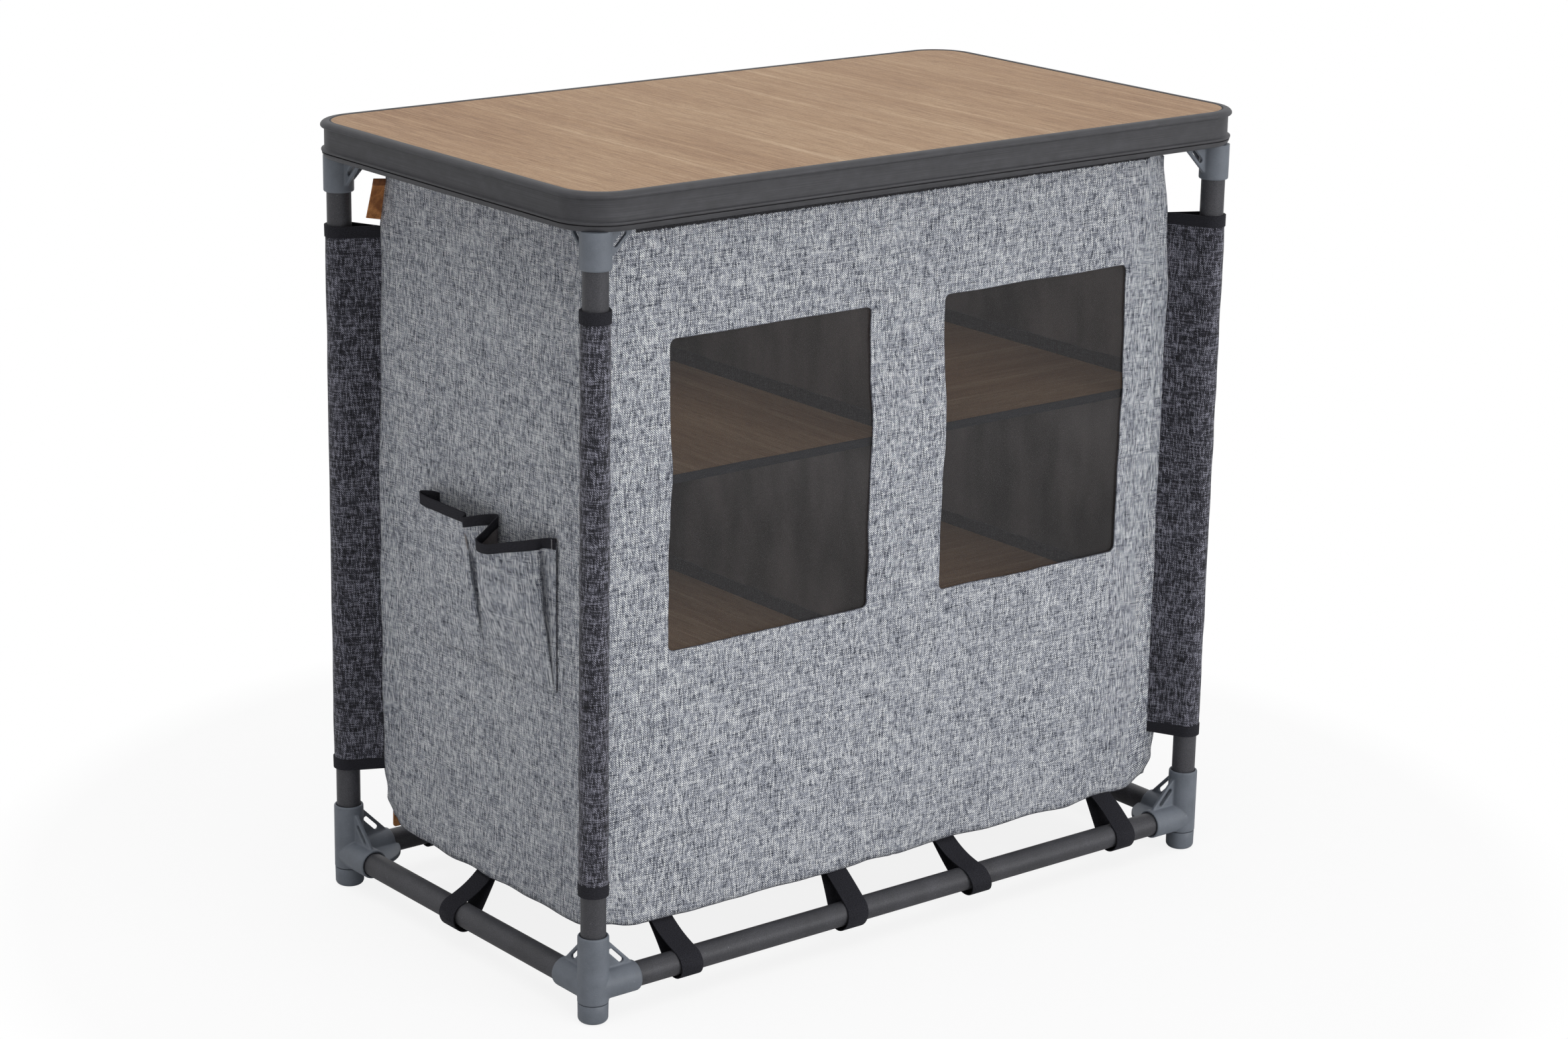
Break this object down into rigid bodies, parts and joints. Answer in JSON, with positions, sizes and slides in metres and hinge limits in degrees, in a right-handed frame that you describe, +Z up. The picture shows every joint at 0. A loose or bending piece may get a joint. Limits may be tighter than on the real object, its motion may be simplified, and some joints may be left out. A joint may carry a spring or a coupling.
{
  "type": "camping kitchen cupboard",
  "caption": "Free-standing camping cupboard: framed wood-look top on a plug-together tube frame, cloth cabinet with shelves, mesh windows, roll-up zip doors and a utensil pocket.",
  "frame": {"origin": "on the floor below the middle of the table top", "axes": "+X along the long side, +Y towards the front with the two doors, +Z up"},
  "size_m": [0.85, 0.49, 0.82],
  "materials": {
    "rim": "dark grey anodised",
    "tube": "satin anthracite powder coat",
    "moulding": "fine-textured blue-grey plastic",
    "wood": "matt light wood grain laminate",
    "light_cloth": "mid grey melange weave",
    "dark_cloth": "dark grey melange weave",
    "lining": "coated dark grey cloth",
    "mesh": "black see-through mesh",
    "webbing": "black woven tape",
    "leather": "matt tan leather",
    "zip": "black lacquered metal"
  },
  "bodies": {
    "cabinet": {"leg_tube_rear_left": "tube", "lower_connector_rear_left": "moulding", "foot_cap_rear_left": "moulding", "sleeve_rear_left": "dark_cloth", "leg_tube_rear_right": "tube", "lower_connector_rear_right": "moulding", "foot_cap_rear_right": "moulding", "sleeve_rear_right": "dark_cloth", "leg_tube_front_right": "tube", "lower_connector_front_right": "moulding", "foot_cap_front_right": "moulding", "sleeve_front_right": "dark_cloth", "leg_tube_front_left": "tube", "lower_connector_front_left": "moulding", "foot_cap_front_left": "moulding", "sleeve_front_left": "dark_cloth", "cross_tube_rear": "tube", "cross_tube_front": "tube", "cross_tube_left": "tube", "cross_tube_right": "tube", "rear_wall": "light_cloth", "front_frame": "light_cloth", "cabinet_floor": "lining", "centre_divider": "lining", "utensil_pocket": "light_cloth", "pocket_binding": "webbing", "leather_tag": "leather", "fixing_strip_rear": "webbing", "fixing_strip_front": "webbing", "window_mesh_left": "mesh", "side_wall_left": "light_cloth", "floor_board_left": "wood", "shelf_tray_lower_left": "dark_cloth", "shelf_board_lower_left": "wood", "shelf_tray_upper_left": "dark_cloth", "shelf_board_upper_left": "wood", "window_mesh_right": "mesh", "side_wall_right": "light_cloth", "floor_board_right": "wood", "shelf_tray_lower_right": "dark_cloth", "shelf_board_lower_right": "wood", "shelf_tray_upper_right": "dark_cloth", "shelf_board_upper_right": "wood"},
    "tabletop": {"table_rim": "rim", "table_board": "wood", "upper_connector_rear_left": "moulding", "upper_connector_rear_right": "moulding", "upper_connector_front_right": "moulding", "upper_connector_front_left": "moulding"},
    "left_door": {"door_left": "light_cloth"},
    "right_door": {"door_right": "light_cloth"},
    "slider_left_outer": {"zip_slider_left_outer": "zip"},
    "puller_left_outer": {"zip_puller_left_outer": "leather"},
    "slider_left_inner": {"zip_slider_left_inner": "zip"},
    "puller_left_inner": {"zip_puller_left_inner": "leather"},
    "slider_right_inner": {"zip_slider_right_inner": "zip"},
    "puller_right_inner": {"zip_puller_right_inner": "leather"},
    "slider_right_outer": {"zip_slider_right_outer": "zip"},
    "puller_right_outer": {"zip_puller_right_outer": "leather"}
  },
  "joints": [
    {"name": "top_lift", "type": "slide", "parent": "cabinet", "child": "tabletop", "axis": [0, 0, 1], "range_m": [0, 0.06]},
    {"name": "left_door_lift", "type": "hinge", "parent": "cabinet", "child": "left_door", "pos_m": [0, 0.192, 0.735], "axis": [1, 0, 0], "range_deg": [0, 95]},
    {"name": "right_door_lift", "type": "hinge", "parent": "cabinet", "child": "right_door", "pos_m": [0, 0.192, 0.735], "axis": [1, 0, 0], "range_deg": [0, 95]},
    {"name": "slider_travel_left_outer", "type": "slide", "parent": "cabinet", "child": "slider_left_outer", "axis": [0, 0, 1], "range_m": [0, 0.628]},
    {"name": "puller_swing_left_outer", "type": "hinge", "parent": "slider_left_outer", "child": "puller_left_outer", "pos_m": [-0.3507, 0.1974, 0.091], "axis": [1, 0, 0], "range_deg": [0, 90]},
    {"name": "slider_travel_left_inner", "type": "slide", "parent": "cabinet", "child": "slider_left_inner", "axis": [0, 0, 1], "range_m": [0, 0.628]},
    {"name": "puller_swing_left_inner", "type": "hinge", "parent": "slider_left_inner", "child": "puller_left_inner", "pos_m": [-0.0203, 0.1974, 0.091], "axis": [1, 0, 0], "range_deg": [0, 90]},
    {"name": "slider_travel_right_inner", "type": "slide", "parent": "cabinet", "child": "slider_right_inner", "axis": [0, 0, 1], "range_m": [0, 0.628]},
    {"name": "puller_swing_right_inner", "type": "hinge", "parent": "slider_right_inner", "child": "puller_right_inner", "pos_m": [0.0203, 0.1974, 0.091], "axis": [1, 0, 0], "range_deg": [0, 90]},
    {"name": "slider_travel_right_outer", "type": "slide", "parent": "cabinet", "child": "slider_right_outer", "axis": [0, 0, 1], "range_m": [0, 0.628]},
    {"name": "puller_swing_right_outer", "type": "hinge", "parent": "slider_right_outer", "child": "puller_right_outer", "pos_m": [0.3507, 0.1974, 0.091], "axis": [1, 0, 0], "range_deg": [0, 90]}
  ]
}
